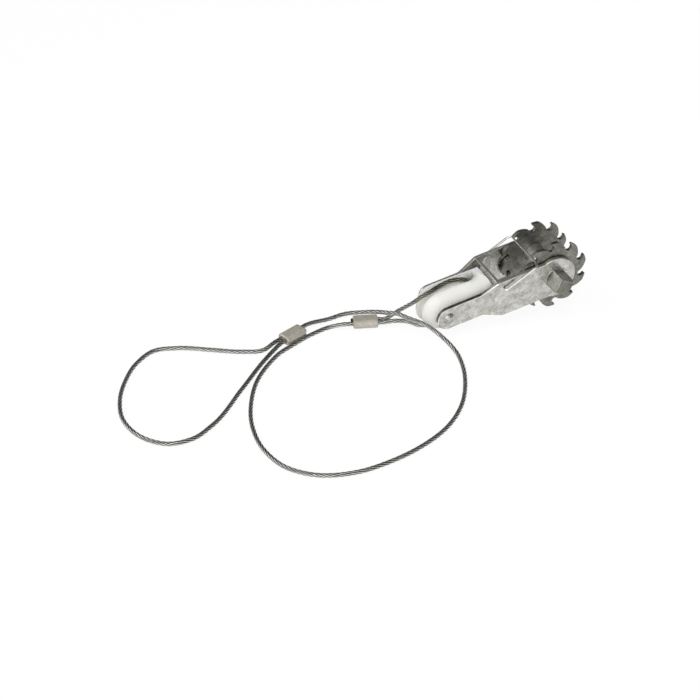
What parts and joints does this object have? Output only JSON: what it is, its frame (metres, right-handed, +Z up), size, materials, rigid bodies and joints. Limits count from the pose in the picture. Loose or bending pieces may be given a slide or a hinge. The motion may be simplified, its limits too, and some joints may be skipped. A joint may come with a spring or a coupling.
{
  "type": "insulated ratchet wire strainer with thimble eye",
  "caption": "Fence-wire strainer: a ratchet spool between two steel plates, a sprung wire bail as its pawl, and a plastic thimble that holds a wire-rope tail ending in an eye.",
  "frame": {"origin": "on the floor plane, under the middle of the strainer body's length and width; the rope tail isn't counted", "axes": "+X from the rope tail to the spool, +Y from the square drive head to the far plate, +Z up"},
  "size_m": [0.3744, 0.1945, 0.057],
  "materials": {
    "galvanised_plate": "zinc-coated pressed steel, mottled, semi-bright",
    "insulator_plastic": "white moulded plastic, slightly translucent",
    "rivet_steel": "zinc-coated steel, domed",
    "spool_steel": "darker zinc-coated steel, semi-bright",
    "spring_wire": "bright drawn spring wire",
    "sleeve_aluminium": "pressed aluminium, matt, warm light grey",
    "rope_steel": "stranded zinc-coated steel wire rope"
  },
  "bodies": {
    "thimble": {"thimble_insulator": "insulator_plastic", "thimble_sleeve_clamp": "sleeve_aluminium", "eye_sleeve_clamp": "sleeve_aluminium", "wire_rope": "rope_steel"},
    "frame": {"near_side_plate": "galvanised_plate", "far_side_plate": "galvanised_plate", "bridge_bracket": "galvanised_plate", "thimble_rivet": "rivet_steel"},
    "spool": {"drum": "spool_steel", "near_ratchet_wheel": "spool_steel", "far_ratchet_wheel": "spool_steel", "axle": "spool_steel"},
    "bail": {"pawl_bail": "spring_wire"}
  },
  "joints": [
    {"name": "frame_swing", "type": "hinge", "parent": "thimble", "child": "frame", "pos_m": [-0.0503, 0.006, 0.0167], "axis": [0, -1, 0], "range_deg": [0, 90]},
    {"name": "spool_turn", "type": "hinge", "parent": "frame", "child": "spool", "pos_m": [0.03842, 0.006, 0.0285], "axis": [0, 1, 0], "range_deg": [0, 270]},
    {"name": "bail_lift", "type": "hinge", "parent": "frame", "child": "bail", "pos_m": [-0.0056, 0.006, 0.03102], "axis": [0, -1, 0], "range_deg": [0, 135]}
  ],
  "couplings": [
    {"joint": "bail_lift", "follows": "spool_turn", "ratio": 0.5}
  ]
}
